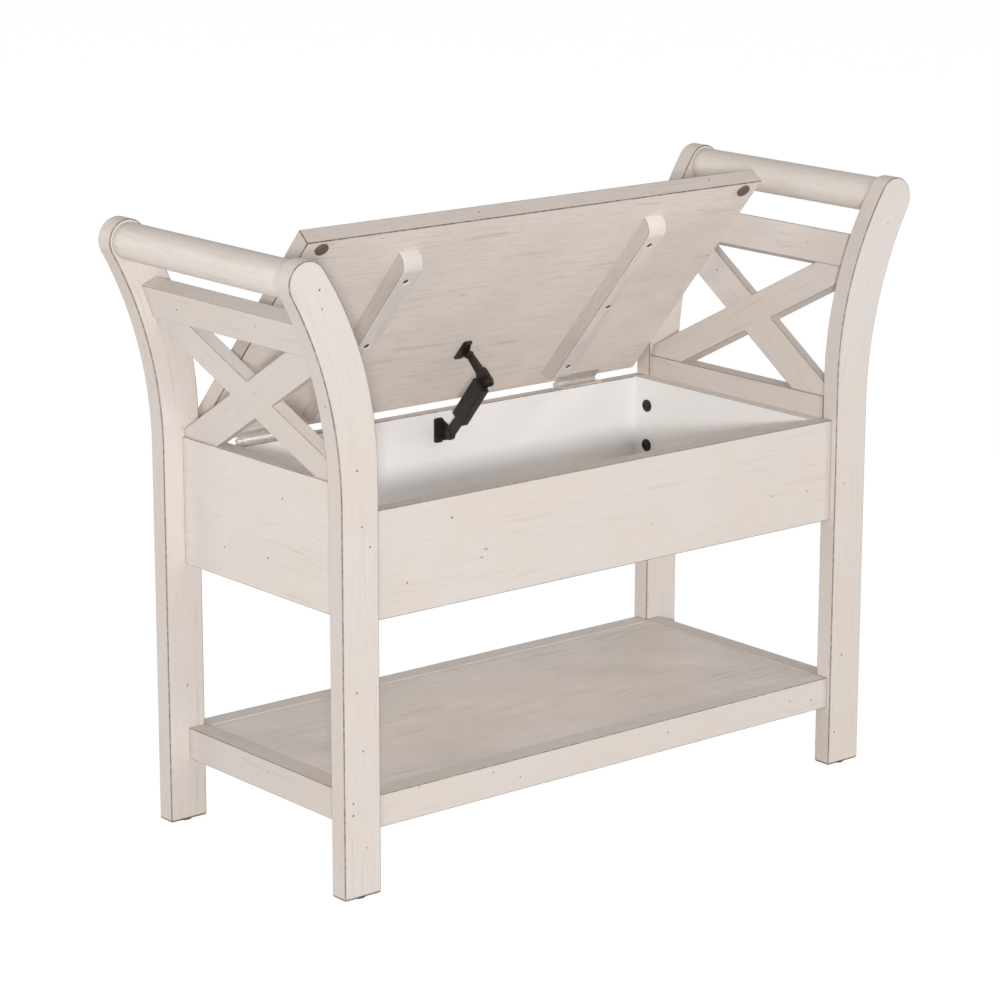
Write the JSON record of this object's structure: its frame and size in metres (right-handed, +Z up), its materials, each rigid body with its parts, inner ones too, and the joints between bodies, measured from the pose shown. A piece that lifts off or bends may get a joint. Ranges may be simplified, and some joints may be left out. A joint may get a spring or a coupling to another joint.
{
  "type": "storage bench",
  "caption": "Lift-lid storage bench with outward-curved, X-braced ends, round hand rails, a shallow box and an open lower shelf; the lid rests part open on a folding stay.",
  "frame": {"origin": "on the floor, under the middle of the bench with its lid part open", "axes": "+X along the bench to its right end, -Y out of its front, +Z up"},
  "size_m": [1.0668, 0.4338, 0.8349],
  "materials": {
    "painted_wood": "limewash over pine, rubbed back at the edges",
    "lid_wood": "limewash with grey grain lines",
    "shelf_wood": "thin grey wash with the grain showing",
    "inner_wood": "white paint inside the box",
    "raw_wood": "bare wood",
    "dark_steel": "black-bronze paint",
    "nickel": "nickel plate",
    "brown_rubber": "matt",
    "dark_plastic": "matt"
  },
  "bodies": {
    "bench": {"bolt_inserts": "nickel", "bolt_washers": "dark_steel", "box_back": "painted_wood", "box_bolts": "dark_steel", "box_bottom": "inner_wood", "box_dowels": "raw_wood", "box_front": "painted_wood", "box_side_left": "inner_wood", "box_side_right": "inner_wood", "brace_falling_left": "painted_wood", "brace_falling_right": "painted_wood", "brace_rising_left": "painted_wood", "brace_rising_right": "painted_wood", "cross_dowels": "raw_wood", "end_dowels_left": "raw_wood", "end_dowels_right": "raw_wood", "foot_glides": "dark_plastic", "hand_rail_left": "painted_wood", "hand_rail_right": "painted_wood", "hinge_box_screws": "nickel", "hinge_left_box_leaf": "nickel", "hinge_left_pin": "nickel", "hinge_right_box_leaf": "nickel", "hinge_right_pin": "nickel", "leg_front_left": "painted_wood", "leg_front_right": "painted_wood", "leg_rear_left": "painted_wood", "leg_rear_right": "painted_wood", "shelf_panel": "shelf_wood", "shelf_rail_back": "painted_wood", "shelf_rail_front": "painted_wood", "shelf_rail_left": "painted_wood", "shelf_rail_right": "painted_wood", "side_panel_left": "painted_wood", "side_panel_right": "painted_wood", "stay_box_bracket": "dark_steel", "stay_box_pin": "dark_steel", "stay_box_screws": "dark_steel", "upper_rail_left": "painted_wood", "upper_rail_right": "painted_wood"},
    "lid": {"lid_board": "lid_wood", "lid_batten_left": "painted_wood", "lid_batten_right": "painted_wood", "batten_screws": "dark_steel", "lid_bumpers": "brown_rubber", "hinge_left_lid_leaf": "nickel", "hinge_right_lid_leaf": "nickel", "hinge_lid_screws": "nickel", "stay_lid_bracket": "dark_steel", "stay_lid_screws": "dark_steel", "stay_lid_pin": "dark_steel"},
    "stay_lower": {"stay_bar": "dark_steel", "stay_housing": "dark_steel", "stay_elbow_pin": "dark_steel"},
    "stay_upper": {"stay_arm": "dark_steel", "stay_friction_washer": "dark_steel"}
  },
  "joints": [
    {"name": "lid_hinge", "type": "hinge", "parent": "bench", "child": "lid", "pos_m": [0, 0.20178, 0.505], "axis": [-1, 0, 0], "range_deg": [-49.4, 30]},
    {"name": "stay_box_pivot", "type": "hinge", "parent": "bench", "child": "stay_lower", "pos_m": [0, 0.15878, 0.474], "axis": [-1, 0, 0], "range_deg": [-49.4, 30]},
    {"name": "stay_elbow", "type": "hinge", "parent": "stay_lower", "child": "stay_upper", "pos_m": [0, 0.07642, 0.56211], "axis": [-1, 0, 0], "range_deg": [-30, 49.4]}
  ],
  "couplings": [
    {"joint": "stay_box_pivot", "follows": "lid_hinge", "ratio": 1},
    {"joint": "stay_elbow", "follows": "lid_hinge", "ratio": -1}
  ]
}
